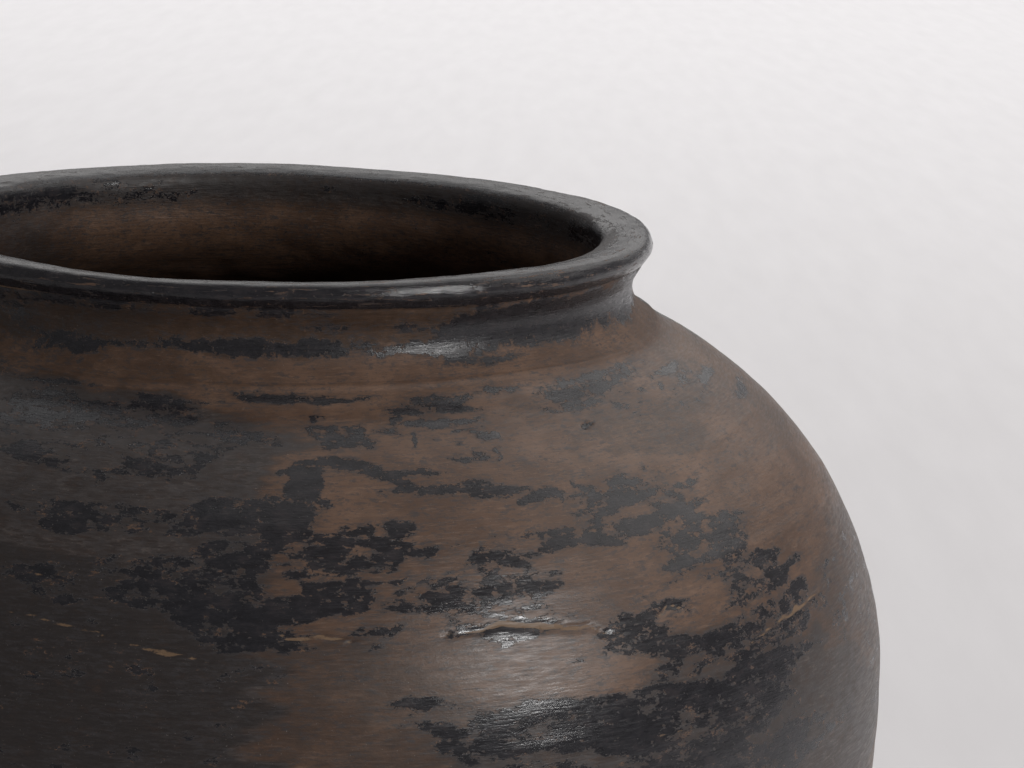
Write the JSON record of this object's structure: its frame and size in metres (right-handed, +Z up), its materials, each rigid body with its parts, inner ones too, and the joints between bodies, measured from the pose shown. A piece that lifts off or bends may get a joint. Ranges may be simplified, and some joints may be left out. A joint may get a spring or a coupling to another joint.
{
  "type": "clay pot",
  "caption": "Round-bellied coil-built earthenware jar with a short neck, a wide mouth and a rolled lip, coated in a worn burnished black slip.",
  "frame": {"origin": "centre of the flat base, on the ground", "axes": "+Z up along the jar's axis; +X and +Y are level, and the side the picture shows faces -Y"},
  "size_m": [0.3432, 0.3432, 0.262],
  "materials": {
    "base_clay": "dry fired clay, scuffed, traces of black slip",
    "bowl_clay": "burnished blue-black slip worn through to brown clay",
    "shoulder_clay": "burnished brown clay with flaking patches of black slip",
    "collar_clay": "wiped brown clay with a jagged patch of black slip",
    "rim_slip": "glossy burnished black slip, flecked with tan clay"
  },
  "bodies": {
    "root": {"base_disc": "base_clay", "wall_coil_1": "bowl_clay", "wall_coil_2": "bowl_clay", "wall_coil_3": "bowl_clay", "wall_coil_4": "bowl_clay", "wall_coil_5": "bowl_clay", "wall_coil_6": "bowl_clay", "wall_coil_7": "bowl_clay", "wall_coil_8": "shoulder_clay", "wall_coil_9": "shoulder_clay", "neck_collar": "collar_clay", "rim_coil": "rim_slip"}
  },
  "joints": []
}
